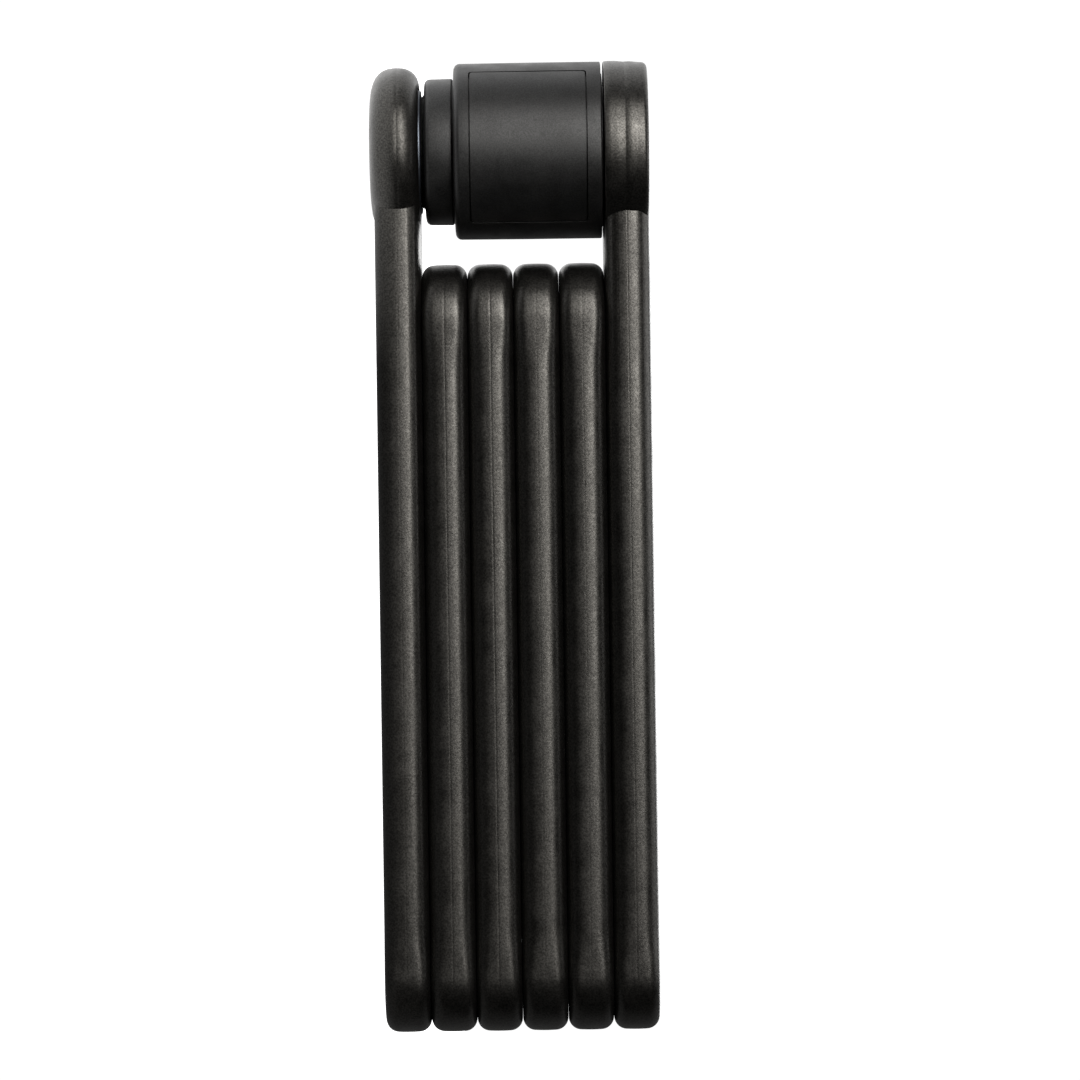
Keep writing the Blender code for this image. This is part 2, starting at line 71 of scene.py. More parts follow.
STRIKE_BORE, STRIKE_INSET = 5.4, 0.9
NECK_BORE, NECK_R = 5.3, 12.65
COLLAR_BORE, COLLAR_R, COLLAR_END_R = 12.75, 16.2, 15.9
COLLAR_LIP_BORE = 13.1
SLEEVE_BORE, SLEEVE_R = 16.0, 19.5
TAPER = 0.08                 # how much slimmer the collar and sleeve start than they end
HUB_BORE, HUB_SHELF = 10.1, 1.5
BEARING_R, WASHER_R, WASHER = 14.0, 16.9, 0.2
CAP_R, CAP_INNER, CAP_BORE, CAP_SUNK = 16.0, 15.1, 4.6, 0.6

LABEL_FLOOR, LABEL_BACK, LABEL_FACE = 18.7, 18.78, 19.46   # radii of the label's layers
POCKET_HALF_DEG, LABEL_HALF_DEG = 58.6, 57.6
POCKET_CORNER, LABEL_CORNER = 0.9, 0.8
POCKET_MARGIN, LABEL_MARGIN = 0.3, -0.02    # beyond the CAD plate's ends

COVER_PIN_X = 7.6            # from the barrel's axis to the pin of the keyway cover
COVER_BIG_R, COVER_SMALL_R = 5.2, 2.6
CAP_PIN_R, COVER_PIN_R = 1.1, 1.2           # holes for that pin

# ---------------------------------------------------------------- facets of round shapes
HEAD_SIDES = 160
SLEEVE_SIDES = 192
BAR_SIDES = 128
RECESS_SIDES = 96
PIVOT_SIDES = 72
HOLE_SIDES = 32
LINK_END_STEPS = 36
BAR_END_STEPS = 24

# ---------------------------------------------------------------- light levels
FLOOR_GLOW = 1.15            # floor as the camera sees it
FLOOR_FRONT = 0.03           # floor in reflections: in front of the lock, behind it,
FLOOR_BACK = 2.0             # and the share that is left at the far pivots' end
FLOOR_LOW = 0.07
FLOOR_Y = (-0.045, -0.022)   # where the floor goes from front to back,
FLOOR_X = (-0.11, -0.04)     # and from the barrel's end to the far end, in metres
WORLD_SEEN = 1.05            # surroundings as the camera sees them
WORLD_FRONT = 0.005          # surroundings in reflections, in the same three ways
WORLD_BACK = 1.4
WORLD_LOW = 0.10
WORLD_Y = (-0.15, 0.25)      # the same for directions
WORLD_X = (-0.30, 0.15)
WARM = (1.0, 0.985, 0.96)
WHITE = (1.0, 1.0, 1.0)

# ---------------------------------------------------------------- tolerances
TIP = 1e-6                   # a profile point nearer the axis than this is on it
WELD = 5e-7                  # merging distance in metres after a Boolean


# ---------------------------------------------------------------- places read from the frame
def span(node):
    """Lowest and highest corner of a CAD node in millimetres."""
    lowest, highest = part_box(node)
    return lowest / MM, highest / MM


def middle_x(node):
    lowest, highest = span(node)
    return (lowest.x + highest.x) / 2


x_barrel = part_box("link_6_cover")[0].x + HEAD_REACH * MM    # barrel axis, in metres
XB = x_barrel / MM                 # the same in millimetres
XF = middle_x("rivet_1_2")         # pivots at the far end
XT = middle_x("rivet_2_3")         # pivots at the barrel end
THICK = span("link_2_cover")[1].z - span("link_2_cover")[0].z

slots = {entry["node"]: entry["material_slot"] for entry in frame["record"]["subparts"]}
bodies = {}
for body, members in frame["record"]["behaviour"]["bodies"].items():
    for member in members:
        bodies[member] = body

# ---------------------------------------------------------------- camera
LENS = 135.0
SENSOR = 36.0
VIEW_WIDTH = 239.652 * MM    # width of the view at the object's middle plane
VIEW_CENTRE = 86.32 * MM     # middle of the view, from the barrel's axis towards the far end
VIEW_HEIGHT = 36.3 * MM      # and above the surface that the lock lies on
LEAN = math.radians(0.8)     # roll of the camera


def make_camera():
    """The camera looks along +Y, with -X up and +Z to the right."""
    data = bpy.data.cameras.new("camera")
    data.lens = LENS
    data.sensor_width = SENSOR
    camera = bpy.data.objects.new("camera", data)
    bpy.context.scene.collection.objects.link(camera)
    distance = LENS / SENSOR * VIEW_WIDTH
    sine, cosine = math.sin(LEAN), math.cos(LEAN)
    camera.matrix_world = Matrix((
        (sine, -cosine, 0.0, x_barrel + VIEW_CENTRE),
        (0.0, 0.0, -1.0, -distance),
        (cosine, sine, 0.0, VIEW_HEIGHT),
        (0.0, 0.0, 0.0, 1.0),
    ))
    bpy.context.scene.camera = camera
    bpy.context.scene.view_settings.view_transform = "Standard"


make_camera()


# ---------------------------------------------------------------- shader tools
def principled(name):
    mat = bpy.data.materials.new(name)
    mat.use_nodes = True
    tree = mat.node_tree
    return mat, tree, tree.nodes["Principled BSDF"]


def noise(tree, coord, scale, detail=2.0, rough=0.5, stretch=None):
    source = coord.outputs["Object"]
    if stretch is not None:
        mapping = tree.nodes.new("ShaderNodeMapping")
        mapping.inputs["Scale"].default_value = stretch
        tree.links.new(source, mapping.inputs["Vector"])
        source = mapping.outputs["Vector"]
    node = tree.nodes.new("ShaderNodeTexNoise")
    node.inputs["Scale"].default_value = scale
    node.inputs["Detail"].default_value = detail
    node.inputs["Roughness"].default_value = rough
    tree.links.new(source, node.inputs["Vector"])
    return node.outputs["Fac"]


def remap(tree, value, low_in, high_in, low_out, high_out):
    node = tree.nodes.new("ShaderNodeMapRange")
    for key, number in (("From Min", low_in), ("From Max", high_in),
                        ("To Min", low_out), ("To Max", high_out)):
        node.inputs[key].default_value = number
    tree.links.new(value, node.inputs["Value"])
    return node.outputs["Result"]


def multiply(tree, first, second):
    node = tree.nodes.new("ShaderNodeMath")
    node.operation = "MULTIPLY"
    tree.links.new(first, node.inputs[0])
    tree.links.new(second, node.inputs[1])
    return node.outputs["Value"]


def mix_colours(tree, factor, first, second):
    node = tree.nodes.new("ShaderNodeMix")
    node.data_type = "RGBA"
    node.inputs["A"].default_value = (*first, 1.0)
    node.inputs["B"].default_value = (*second, 1.0)
    tree.links.new(factor, node.inputs["Factor"])
    return node.outputs["Result"]


def bump(tree, shader, height, distance, strength=1.0, before=None):
    node = tree.nodes.new("ShaderNodeBump")
    node.inputs["Strength"].default_value = strength
    node.inputs["Distance"].default_value = distance
    tree.links.new(height, node.inputs["Height"])
    if before is not None:
        tree.links.new(before, node.inputs["Normal"])
    tree.links.new(node.outputs["Normal"], shader.inputs["Normal"])
    return node.outputs["Normal"]


# ---------------------------------------------------------------- materials
def grained(name, dark, light, rough, grain=2600.0, depth=0.00003, level=0.5, speckle=0.3,
            tint=WHITE):
    """Moulded plastic or vinyl: fine speckled grain, faint mottling and uneven gloss."""
    spread = 0.06
    mottle = 190.0
    mottle_depth = 0.00010
    mat, tree, shader = principled(name)
    coord = tree.nodes.new("ShaderNodeTexCoord")
    fine = noise(tree, coord, grain, 3.0, 0.6)
    broad = noise(tree, coord, mottle, 3.0, 0.55)
    tone = remap(tree, fine, 0.35, 0.68, 0.0, 1.0)
    tree.links.new(mix_colours(tree, tone, dark, light), shader.inputs["Base Color"])
    tree.links.new(remap(tree, broad, 0.3, 0.7, rough - spread, rough + spread),
                   shader.inputs["Roughness"])
    mottled = bump(tree, shader, broad, mottle_depth, 0.25)
    bump(tree, shader, fine, depth, 1.0, mottled)
    gloss = remap(tree, fine, 0.36, 0.64, level * (1 - speckle), level * (1 + speckle))
    shader.inputs["Specular IOR Level"].default_value = level
    tree.links.new(gloss, shader.inputs["Specular IOR Level"])
    shader.inputs["Specular Tint"].default_value = (*tint, 1.0)
    return mat


def metal(name, dark, light, rough, stretch=(1.0, 1.0, 1.0)):
    """Metal with machining or polishing marks along one direction."""
    mark_scale = 900.0
    mark_depth = 0.00002
    tone_scale = 140.0
    mat, tree, shader = principled(name)
    coord = tree.nodes.new("ShaderNodeTexCoord")
    marks = noise(tree, coord, mark_scale, 4.0, 0.6, stretch)
    broad = noise(tree, coord, tone_scale, 3.0, 0.5)
    tree.links.new(mix_colours(tree, broad, dark, light), shader.inputs["Base Color"])
    tree.links.new(remap(tree, marks, 0.3, 0.7, rough - 0.07, rough + 0.09),
                   shader.inputs["Roughness"])
    bump(tree, shader, marks, mark_depth, 0.5)
    shader.inputs["Metallic"].default_value = 1.0
    return mat


VINYL = grained("vinyl", (0.0008, 0.0008, 0.0008), (0.0036, 0.0034, 0.0031), 0.38,
                depth=0.000018, level=0.55, speckle=0.36, tint=(1.0, 0.965, 0.90))
SHELL = grained("housing_plastic", (0.0008, 0.0008, 0.0008), (0.0034, 0.0033, 0.0032), 0.49,
                grain=3400.0, depth=0.000014, level=0.43, speckle=0.22)
LABEL = grained("label", (0.0012, 0.0012, 0.0012), (0.0036, 0.0036, 0.0036), 0.47,
                grain=3800.0, depth=0.000010, level=0.45, speckle=0.20)
SEAL = grained("seal", (0.004, 0.004, 0.004), (0.010, 0.010, 0.010), 0.75, grain=1800.0)
ACETAL = grained("acetal", (0.012, 0.012, 0.012), (0.022, 0.022, 0.022), 0.5, grain=1500.0)
STEEL = metal("steel", (0.30, 0.30, 0.31), (0.46, 0.46, 0.47), 0.36, (1.0, 9.0, 1.0))
PLATED = metal("plated", (0.26, 0.28, 0.31), (0.38, 0.40, 0.44), 0.30)
# darker copy of the plated steel for the strike plate: painted shade for its place in the gap
# between link 1's head and the neck
SHADED_PLATED = metal("strike", (0.07, 0.08, 0.095), (0.11, 0.12, 0.14), 0.45)
BRASS = metal("brass", (0.40, 0.28, 0.12), (0.52, 0.38, 0.18), 0.30, (1.0, 1.0, 6.0))
MATERIALS = {"vinyl": VINYL, "housing_plastic": SHELL, "label": LABEL, "seal": SEAL,
             "acetal": ACETAL, "steel": STEEL, "plated": PLATED, "brass": BRASS}

for name, node in frame["nodes"].items():
    node.data.materials.clear()
    node.data.materials.append(MATERIALS[slots[name]])


# ---------------------------------------------------------------- mesh tools, in millimetres
def to_object(bm, name):
    bmesh.ops.recalc_face_normals(bm, faces=bm.faces)
    mesh = bpy.data.meshes.new(name)
    for vert in bm.verts:
        vert.co *= MM
    bm.to_mesh(mesh)
    bm.free()
    obj = bpy.data.objects.new(name, mesh)
    bpy.context.scene.collection.objects.link(obj)
    return obj


def loft(rings):
    """Closed body through rings of equal length."""
    bm = bmesh.new()
    rows = [[bm.verts.new(p) for p in ring] for ring in rings]
    count = len(rows[0])
    for lower, upper in zip(rows, rows[1:]):
        for i in range(count):
            j = (i + 1) % count
            bm.faces.new((lower[i], lower[j], upper[j], upper[i]))
    bm.faces.new(list(reversed(rows[0])))
    bm.faces.new(rows[-1])
    return bm


def lathe(profile, x, count):
    """Turned body about a Z axis: a ring if the profile stays off the axis, else a solid."""
    bm = bmesh.new()
    rows = []
    for radius, z in profile:
        if radius < TIP:
            rows.append([bm.verts.new((x, 0.0, z))])
        else:
            ring = []
            for i in range(count):
                a = 2 * math.pi * (i + 0.5) / count
                point = (x + radius * math.cos(a), radius * math.sin(a), z)
                ring.append(bm.verts.new(point))
            rows.append(ring)
    pairs = list(zip(rows, rows[1:]))
    if len(rows[0]) > 1:
        pairs.append((rows[-1], rows[0]))
    for lower, upper in pairs:
        for i in range(count):
            j = (i + 1) % count
            if len(lower) == 1:
                bm.faces.new((lower[0], upper[j], upper[i]))
            elif len(upper) == 1:
                bm.faces.new((lower[i], lower[j], upper[0]))
            else:
                bm.faces.new((lower[i], lower[j], upper[j], upper[i]))
    return bm


def rounded(corners, closed=True, steps=6):
    """Profile through (r, z, fillet) corners, each corner replaced by an arc."""
    out = []
    count = len(corners)
    for i, (r, z, fillet) in enumerate(corners):
        here = Vector((r, z))
        end = not closed and i in (0, count - 1)
        if fillet <= 0 or end:
            out.append((r, z))
            continue
        before = Vector(corners[i - 1][:2]) - here
        after = Vector(corners[(i + 1) % count][:2]) - here
        angle = before.angle(after)
        if angle > math.pi - 0.02:
            out.append((r, z))
            continue
        cut = min(fillet / math.tan(angle / 2), before.length * 0.49, after.length * 0.49)
        size = cut * math.tan(angle / 2)
        inward = (before.normalized() + after.normalized()).normalized()
        start = here + before.normalized() * cut
        middle = here + inward * (size / math.sin(angle / 2))
        stop = here + after.normalized() * cut
        a0 = math.atan2(start.y - middle.y, start.x - middle.x)
        a1 = math.atan2(stop.y - middle.y, stop.x - middle.x)
        turn = (a1 - a0 + math.pi) % (2 * math.pi) - math.pi
        for k in range(steps + 1):
            a = a0 + turn * k / steps
            out.append((middle.x + size * math.cos(a), middle.y + size * math.sin(a)))
    return out


def solve(obj, others, operation="DIFFERENCE"):
    """Boolean obj with others, keep the result as a plain welded mesh and drop the others."""
    for other in others:
        mod = obj.modifiers.new("cut", "BOOLEAN")
        mod.solver = "EXACT"
        mod.operation = operation
        mod.object = other
        bpy.context.view_layer.update()
        graph = bpy.context.evaluated_depsgraph_get()
        mesh = bpy.data.meshes.new_from_object(obj.evaluated_get(graph))
        obj.modifiers.clear()
        weld = bmesh.new()
        weld.from_mesh(mesh)
        bmesh.ops.remove_doubles(weld, verts=weld.verts, dist=WELD)
        bmesh.ops.dissolve_degenerate(weld, edges=weld.edges, dist=WELD)
        weld.to_mesh(mesh)
        weld.free()
        obj.data = mesh
        bpy.data.objects.remove(other, do_unlink=True)


def soften(obj, width, segments):
    """Small bevel on the sharp edges."""
    mod = obj.modifiers.new("soften", "BEVEL")
    mod.width = width * MM
    mod.segments = segments
    mod.limit_method = "ANGLE"
    mod.angle_limit = math.radians(50)


def finish_piece(obj, mat, node, sharp=38.0):
    """Give a piece its material and shading, and let it stand for its CAD node."""
    mesh = obj.data
    mesh.materials.clear()
    mesh.materials.append(mat)
    for poly in mesh.polygons:
        poly.use_smooth = True
        poly.material_index = 0
    mesh.set_sharp_from_angle(angle=math.radians(sharp))
    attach(obj, bodies[node])
    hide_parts(node)


def cylinder(radius, z0, z1, x, count):
    return lathe([(0.0, z0), (radius, z0), (radius, z1), (0.0, z1)], x, count)


def mouth(radius, z_floor, z_face, x, lip=0.35):
    """Cutter for a round recess whose rim is eased by a small radius."""
    steps = 6
    way = 1.0 if z_face > z_floor else -1.0
    profile = [(0.0, z_floor), (radius, z_floor), (radius, z_face - way * lip)]
    for k in range(1, steps + 1):
        a = math.radians(90 * k / steps)
        profile.append((radius + lip * (1 - math.cos(a)), z_face - way * lip * (1 - math.sin(a))))
    profile.append((radius + lip, z_face + way))
    profile.append((0.0, z_face + way))
    return lathe(profile, x, RECESS_SIDES)


def half_turn(start, steps):
    """Unit vectors (cos, sin) around half a circle from an angle in degrees."""
    angles = [math.radians(start) + math.pi * k / steps for k in range(steps + 1)]
    return [(math.cos(a), math.sin(a)) for a in angles]


def stadium(x0, x1, radius, steps):
    left = [(x0 + radius * c, radius * s) for c, s in half_turn(90, steps)]
    right = [(x1 + radius * c, radius * s) for c, s in half_turn(-90, steps)]
    return left + right


def smooth(t):
    t = min(max(t, 0.0), 1.0)
    return t * t * (3 - 2 * t)


# ---------------------------------------------------------------- link covers
def side_section(groove):
    """Steps up the side of a moulded link: (end height, end inset, mid height, mid inset).

    The ends are flat with round corners, the long sides are crowned between them. The groove
    is the parting line at half height.
    """
    crown_steps, edge_steps = 4, 10
    half = THICK / 2
    turn = math.asin((half - EDGE) / (CROWN - EDGE))
    mid_turn = math.asin((half - MID_EDGE) / (MID_CROWN - MID_EDGE))

    def arc(big, small, knee, a):
        if a <= knee:
            return big * math.sin(a), big * (1 - math.cos(a))
        z = big * math.sin(knee) + small * (math.sin(a) - math.sin(knee))
        return z, big * (1 - math.cos(knee)) + small * (math.cos(knee) - math.cos(a))

    side = [(VALLEY, groove, VALLEY, groove), (LIP, 0.0, LIP, 0.0)]
    for k in range(1, crown_steps + 1):
        share = k / crown_steps
        side.append((*arc(CROWN, EDGE, turn, turn * share),
                     *arc(MID_CROWN, MID_EDGE, mid_turn, mid_turn * share)))
    for k in range(1, edge_steps + 1):
        a = turn + (math.pi / 2 - turn) * k / edge_steps
        b = mid_turn + (math.pi / 2 - mid_turn) * k / edge_steps
        side.append((*arc(CROWN, EDGE, turn, a), *arc(MID_CROWN, MID_EDGE, mid_turn, b)))
    lower = [(-z, inset, -z_mid, inset_mid) for z, inset, z_mid, inset_mid in reversed(side)]
    return lower + side


def link_body(z0, x0, groove):
    """Loft of one moulded link, crowned along its straight sides."""
    ramp_steps = 8
    ramp = [RAMP * k / ramp_steps for k in range(1, ramp_steps + 1)]
    along = [(x, smooth(min(x - x0, XF - x) / RAMP))
             for x in [x0 + d for d in ramp] + [XF - d for d in reversed(ramp)]]
    stations = [(x0, c, s, 0.0) for c, s in half_turn(90, LINK_END_STEPS)]
    stations += [(x, 0.0, -1.0, share) for x, share in along]
    stations += [(XF, c, s, 0.0) for c, s in half_turn(-90, LINK_END_STEPS)]
    stations += [(x, 0.0, 1.0, share) for x, share in reversed(along)]
    rings = []
    middle = z0 + THICK / 2
    for z_end, inset_end, z_mid, inset_mid in side_section(groove):
        ring = []
        for x, out_x, out_y, share in stations:
            reach = HALF - (inset_end + (inset_mid - inset_end) * share)
            ring.append((x + reach * out_x, reach * out_y,
                         middle + z_end + (z_mid - z_end) * share))
        rings.append(ring)
    return loft(rings)


def head_profile(number, z0):
    """Outline (r, z) of a round head: a cushion shape on link 1, a straighter drum on link 6.

    Both run from the underside to the top and carry the parting line near half height.
    """
    if number == 1:
        points = [(0.0, -0.9), (9.0, -0.9), (12.0, -0.84), (14.0, -0.6), (15.5, -0.18),
                  (16.6, 0.38), (17.5, 1.15), (18.15, 2.05), (18.55, 3.15), (18.73, 4.4),
                  (18.75, 5.2), (18.72, 5.36), (18.75, 5.52), (18.66, 6.45), (18.4, 7.4),
                  (17.95, 8.25), (17.3, 9.0), (16.5, 9.55), (15.4, 9.9), (14.9, 9.97),
                  (0.0, 9.97)]
    else:
        top = THICK - 0.03
        points = rounded([
            (0.0, 0.27, 0), (19.52, 0.27, 0.35), (19.64, 1.5, 6.0), (19.62, 3.1, 9.0),
            (19.44, 4.75, 0), (19.43, 4.9, 0), (19.46, 5.05, 0), (19.52, 6.1, 6.0),
            (19.36, 7.6, 1.0), (19.2, top, 2.5), (0.0, top, 0)], closed=False, steps=10)
    return [(r, z0 + z) for r, z in points]


def pivots(number):
    """Pivots of a link: (x, whether the next link is above it there)."""
    found = []
    if number > 1:
        found.append((XF if number % 2 == 0 else XT, False))
    if number < 6:
        found.append((XF if number % 2 == 1 else XT, True))
    return found


def link_cover(number):
    node = "link_%d_cover" % number
    z1 = span(node)[1].z
    z0 = z1 - THICK
    headed = number in HEADED
    end_x = XB if headed else XT
    cover = to_object(link_body(z0, end_x, PARTING[number]), "cover_%d" % number)
    if headed:
        head = to_object(lathe(head_profile(number, z0), XB, HEAD_SIDES), "head")
        solve(cover, [head], "UNION")

    core_low, core_high = span("link_%d_core" % number)
    c0, c1 = core_low.z - CORE_GAP, core_high.z + CORE_GAP
    face = z0 + THICK
    cutters = []
    if headed:
        cutters.append(cylinder(XB - core_low.x + 0.1, c0, c1, XB, BAR_SIDES))
    flat = stadium(end_x, XF, HALF - COATING + CORE_GAP, BAR_END_STEPS)
    cutters.append(loft([[(x, y, z) for x, y in flat] for z in (c0, c1)]))
    for x, upper in pivots(number):
        above, below = RIVET_RECESS, SPACER_RECESS
        if upper:
            above, below = SPACER_RECESS, RIVET_RECESS
        middle = (c0 + c1) / 2
        cutters.append(mouth(above, middle, face, x))
        cutters.append(mouth(below, middle, z0, x))
    if number == 1:
        cutters.append(mouth(STRIKE_RECESS, c1 - 1.0, face, XB, 0.25))
    if number == 6:
        cutters.append(mouth(BEARING_RECESS, c0 + 1.0, z0, XB, 0.2))
        cutters.append(mouth(CAP_RECESS, c1 - 1.0, face, XB, 0.3))
    solve(cover, [to_object(cutter, "cut") for cutter in cutters])
    finish_piece(cover, VINYL, node, 34.0)


for number in range(1, 7):
    link_cover(number)


# ---------------------------------------------------------------- pivots
def pivot(lower):
    """Rivet and spacer between a link and the next one."""
    tag = "%d_%d" % (lower, lower + 1)
    x = XF if lower % 2 == 1 else XT
    a, b = span("rivet_" + tag)
    z0, z1 = a.z, b.z
    profile = rounded([
        (0.0, z0 + CENTRE_DEPTH, 0), (CENTRE_R, z0 + CENTRE_DEPTH, 0.3),
        (CENTRE_RIM, z0 + 0.02, 0.3), (RIVET_R, z0 + 0.12, 0.45),
        (RIVET_R, z0 + RIVET_HEAD, 0.08), (SHANK_R, z0 + RIVET_HEAD, 0.1),
        (SHANK_R, z1 - RIVET_HEAD, 0.1), (RIVET_R, z1 - RIVET_HEAD, 0.08),
        (RIVET_R, z1 - 0.12, 0.45), (CENTRE_RIM, z1 - 0.02, 0.3),
        (CENTRE_R, z1 - CENTRE_DEPTH, 0.3), (0.0, z1 - CENTRE_DEPTH, 0)], closed=False)
    finish_piece(to_object(lathe(profile, x, PIVOT_SIDES), "pivot_rivet_" + tag), STEEL,
                 "rivet_" + tag)
    a, b = span("spacer_" + tag)
    profile = rounded([(SPACER_BORE, a.z, 0.3), (SPACER_R, a.z, 0.35),
                       (SPACER_R, b.z, 0.35), (SPACER_BORE, b.z, 0.3)])
    finish_piece(to_object(lathe(profile, x, PIVOT_SIDES), "pivot_spacer_" + tag), PLATED,
                 "spacer_" + tag)


for lower in range(1, 6):
    pivot(lower)


# ---------------------------------------------------------------- lock barrel
def ring_piece(name, node, corners, mat):
    finish_piece(to_object(lathe(rounded(corners), XB, HEAD_SIDES), name), mat, node)


def strike():
    a, b = span("strike_plate")
    outer = (b.x - a.x) / 2 - STRIKE_INSET
    # the strike plate takes the darker plated copy, painted shade for the gap it sits in
    ring_piece("bolt_strike", "strike_plate", [
        (STRIKE_BORE, a.z, 0), (outer, a.z, 0), (outer, b.z, 0.35),
        (STRIKE_BORE + 0.6, b.z, 0.15), (STRIKE_BORE, b.z - 0.6, 0.1)], SHADED_PLATED)


def neck():
    a, b = span("neck_seal")
    ring_piece("neck_ring", "neck_seal", [
        (NECK_BORE, a.z, 0.2), (NECK_R - 0.55, a.z - 0.07, 0.25), (NECK_R, a.z + 0.5, 0.2),
        (NECK_R, b.z, 0.1), (NECK_BORE, b.z, 0.1)], SEAL)


def collar():
    a, b = span("collar")
    seat = span("neck_seal")[1].z + 0.05
    ring_piece("barrel_collar", "collar", [
        (COLLAR_BORE, a.z, 0.15), (COLLAR_R - TAPER, a.z, 1.25), (COLLAR_R, b.z - 0.45, 0.2),
        (COLLAR_END_R, b.z - 0.3, 0.1), (COLLAR_END_R, b.z, 0), (COLLAR_LIP_BORE, b.z, 0),
        (COLLAR_LIP_BORE, seat, 0), (COLLAR_BORE, seat, 0)], SHELL)


def label_block(r0, r1, half_deg, z0, z1, corner):
    """Curved block over the front of the barrel with rounded outline corners."""
    steps, corner_steps = 48, 6
    half_arc = math.radians(half_deg) * SLEEVE_R
    columns_at = {round(-half_arc + 2 * half_arc * k / steps, 4) for k in range(steps + 1)}
    for k in range(corner_steps + 1):
        reach = half_arc - corner + corner * math.cos(math.radians(90 * k / corner_steps))
        columns_at |= {round(reach, 4), round(-reach, 4)}
    bm = bmesh.new()
    columns = []
    for s in sorted(columns_at):
        inside = max(0.0, abs(s) - (half_arc - corner))
        drop = corner - math.sqrt(max(corner ** 2 - inside ** 2, 0.0))
        t = -math.pi / 2 + s / SLEEVE_R
        column = []
        for radius, z in ((r0, z0 + drop), (r1, z0 + drop), (r1, z1 - drop), (r0, z1 - drop)):
            column.append(bm.verts.new((XB + radius * math.cos(t), radius * math.sin(t), z)))
        columns.append(column)
    for left, right in zip(columns, columns[1:]):
        for i in range(4):
            j = (i + 1) % 4
            bm.faces.new((left[i], left[j], right[j], right[i]))
    bm.faces.new(list(reversed(columns[0])))
    bm.faces.new(columns[-1])
    return bm


def sleeve():
    a, b = span("barrel_sleeve")
    shell = to_object(lathe(rounded([
        (SLEEVE_BORE, a.z, 0.2), (SLEEVE_R - TAPER, a.z, 1.35), (SLEEVE_R, (a.z + b.z) / 2, 0),
        (SLEEVE_R, b.z, 0.35), (HUB_BORE, b.z, 0.2), (HUB_BORE, b.z - HUB_SHELF, 0),
        (SLEEVE_BORE, b.z - HUB_SHELF, 0)]), XB, SLEEVE_SIDES), "barrel_shell")
    low, high = span("label_plate")
    pocket = label_block(LABEL_FLOOR, SLEEVE_R + 2.5, POCKET_HALF_DEG,
                         low.z - POCKET_MARGIN, high.z + POCKET_MARGIN, POCKET_CORNER)
    solve(shell, [to_object(pocket, "cut")])
    soften(shell, 0.2, 2)
    finish_piece(shell, SHELL, "barrel_sleeve")


def label():
    low, high = span("label_plate")
    block = label_block(LABEL_BACK, LABEL_FACE, LABEL_HALF_DEG,
                        low.z - LABEL_MARGIN, high.z + LABEL_MARGIN, LABEL_CORNER)
    panel = to_object(block, "label_panel")
    soften(panel, 0.2, 3)
    finish_piece(panel, LABEL, "label_plate")


def bearing():
    a, b = span("swivel_washer")
    ring_piece("swivel_bearing", "swivel_washer", [
        (HUB_BORE, a.z, 0), (WASHER_R, a.z, 0.08), (WASHER_R, a.z + WASHER, 0.08),
        (BEARING_R, a.z + WASHER, 0), (BEARING_R, b.z, 0.1), (HUB_BORE, b.z, 0)], ACETAL)


def keyway_cap():
    a, b = span("end_cap")
    sunk = b.z - CAP_SUNK
    cap = to_object(lathe(rounded([
        (CAP_BORE, a.z, 0), (CAP_R, a.z, 0.1), (CAP_R, b.z, 0.25), (CAP_INNER, b.z, 0.15),
        (CAP_INNER, sunk, 0.1), (CAP_BORE + 0.4, sunk, 0.1), (CAP_BORE, sunk - 0.2, 0)]),
        XB, HEAD_SIDES), "keyway_cap")
    hole = cylinder(CAP_PIN_R, a.z - 1, b.z + 1, XB + COVER_PIN_X, HOLE_SIDES)
    solve(cap, [to_object(hole, "cut")])
    finish_piece(cap, SHELL, "end_cap")


def keyway_shutter():
    """Drop-shaped cover: a big arc over the keyway and a small one round its pin."""
    a, b = span("dust_cover")
    outline = []
    for k in range(49):
        t = math.radians(60 + 240 * k / 48)
        outline.append((XB + COVER_BIG_R * math.cos(t), COVER_BIG_R * math.sin(t)))
    for k in range(25):
        t = math.radians(-70 + 140 * k / 24)
        outline.append((XB + COVER_PIN_X + COVER_SMALL_R * math.cos(t),
                        COVER_SMALL_R * math.sin(t)))
    shutter = to_object(loft([[(x, y, z) for x, y in outline] for z in (a.z, b.z)]),
                        "keyway_shutter")
    hole = cylinder(COVER_PIN_R, a.z - 1, b.z + 1, XB + COVER_PIN_X, HOLE_SIDES)
    solve(shutter, [to_object(hole, "cut")])
    soften(shutter, 0.12, 2)
    finish_piece(shutter, PLATED, "dust_cover")


strike()
neck()
collar()
sleeve()
label()
bearing()
keyway_cap()
keyway_shutter()


# ---------------------------------------------------------------- floor, lights and surroundings
def split_axes(tree, source):
    node = tree.nodes.new("ShaderNodeSeparateXYZ")
    tree.links.new(source, node.inputs["Vector"])
    return node.outputs


def show_to_camera(tree, seen, reflected, output):
    """Show one shader to the camera, and the other one to every reflection."""
    path = tree.nodes.new("ShaderNodeLightPath")
    choose = tree.nodes.new("ShaderNodeMixShader")
    tree.links.new(path.outputs["Is Camera Ray"], choose.inputs["Fac"])
    tree.links.new(reflected, choose.inputs[1])
    tree.links.new(seen, choose.inputs[2])
    tree.links.new(choose.outputs["Shader"], tree.nodes[output].inputs["Surface"])


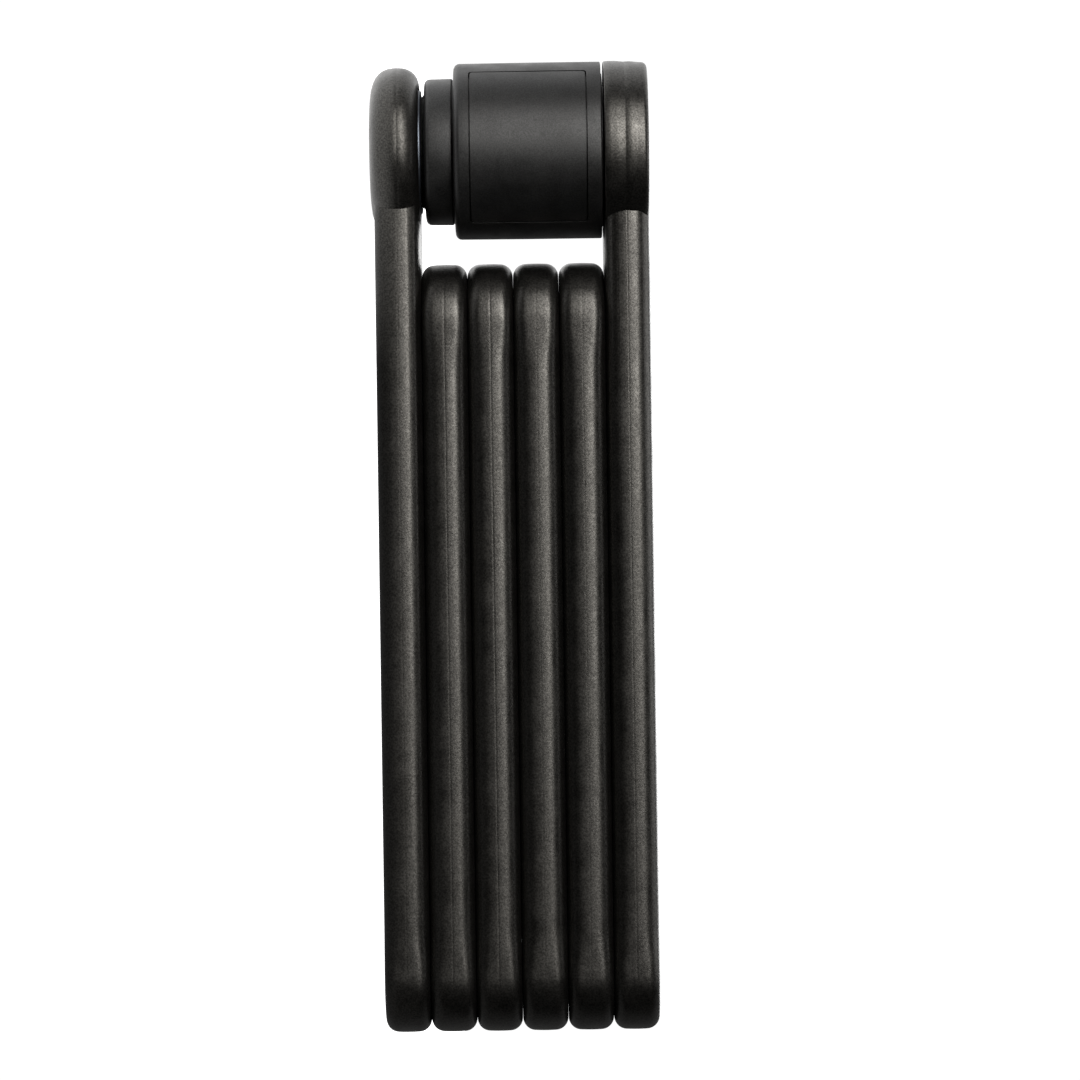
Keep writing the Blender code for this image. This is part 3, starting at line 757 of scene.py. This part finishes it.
def floor_material():
    mat, tree, shader = principled("floor")
    coord = tree.nodes.new("ShaderNodeTexCoord")
    tone = noise(tree, coord, 3.0)
    pale = mix_colours(tree, tone, (0.86, 0.86, 0.86), (0.90, 0.90, 0.90))
    tree.links.new(pale, shader.inputs["Base Color"])
    tree.links.new(pale, shader.inputs["Emission Color"])
    shader.inputs["Emission Strength"].default_value = FLOOR_GLOW
    shader.inputs["Roughness"].default_value = 0.9
    shader.inputs["Specular IOR Level"].default_value = 0.1
    axes = split_axes(tree, coord.outputs["Object"])
    back = remap(tree, axes["Y"], *FLOOR_Y, FLOOR_FRONT, FLOOR_BACK)
    low = remap(tree, axes["X"], *FLOOR_X, 1.0, FLOOR_LOW)
    dim = tree.nodes.new("ShaderNodeEmission")
    tree.links.new(multiply(tree, back, low), dim.inputs["Strength"])
    show_to_camera(tree, shader.outputs["BSDF"], dim.outputs["Emission"], "Material Output")
    return mat


def make_floor():
    bm = bmesh.new()
    near, far, side = -260.0, 900.0, 700.0
    corners = ((-side, near, 0), (side, near, 0), (side, far, 0), (-side, far, 0))
    bm.faces.new([bm.verts.new(corner) for corner in corners])
    floor = to_object(bm, "floor")
    floor.location.z = -0.0001
    floor.data.materials.append(floor_material())


def panel(name, centre, target, width, height, power, colour=WHITE, up=(1.0, 0.0, 0.0)):
    """Rectangular lamp at centre that faces target, with its height along up."""
    light = bpy.data.lights.new(name, "AREA")
    light.shape = "RECTANGLE"
    light.size = width
    light.size_y = height
    light.energy = power
    light.color = colour
    obj = bpy.data.objects.new(name, light)
    bpy.context.scene.collection.objects.link(obj)
    centre, target = Vector(centre), Vector(target)
    back = (centre - target).normalized()
    right = Vector(up).cross(back).normalized()
    upward = back.cross(right)
    obj.matrix_world = Matrix((
        (right.x, upward.x, back.x, centre.x),
        (right.y, upward.y, back.y, centre.y),
        (right.z, upward.z, back.z, centre.z),
        (0.0, 0.0, 0.0, 1.0),
    ))
    obj.visible_camera = False


def make_world():
    """White surroundings behind the lock, dark ones behind the camera."""
    world = bpy.data.worlds.new("studio")
    world.use_nodes = True
    tree = world.node_tree
    coord = tree.nodes.new("ShaderNodeTexCoord")
    axes = split_axes(tree, coord.outputs["Generated"])
    back = remap(tree, axes["Y"], *WORLD_Y, 0.0, 1.0)
    low = remap(tree, axes["X"], *WORLD_X, 1.0, WORLD_LOW)
    tone = mix_colours(tree, multiply(tree, back, low), (WORLD_FRONT,) * 3, (WORLD_BACK,) * 3)
    reflected = tree.nodes["Background"]
    reflected.inputs["Strength"].default_value = 1.0
    tree.links.new(tone, reflected.inputs["Color"])
    seen = tree.nodes.new("ShaderNodeBackground")
    seen.inputs["Color"].default_value = (*WHITE, 1.0)
    seen.inputs["Strength"].default_value = WORLD_SEEN
    show_to_camera(tree, seen.outputs["Background"], reflected.outputs["Background"],
                   "World Output")
    bpy.context.scene.world = world


make_floor()
# two soft panels on the camera's side, towards the barrel end
panel("key", (-0.38, -1.15, 0.47), (-0.30, 0.0, 0.03), 0.38, 0.84, 11.5, WARM)
panel("top", (-0.68, -1.08, 0.33), (0.0, 0.0, 0.03), 0.40, 1.05, 12.5, WARM)
# weak lights for the far side and the broad face
panel("rear", (0.0, 1.20, 0.62), (0.0, 0.0, 0.03), 0.60, 0.60, 5.0)
panel("over", (-0.10, 0.05, 1.30), (0.0, 0.0, 0.03), 0.50, 0.90, 3.0, up=(0.0, 1.0, 0.0))
make_world()
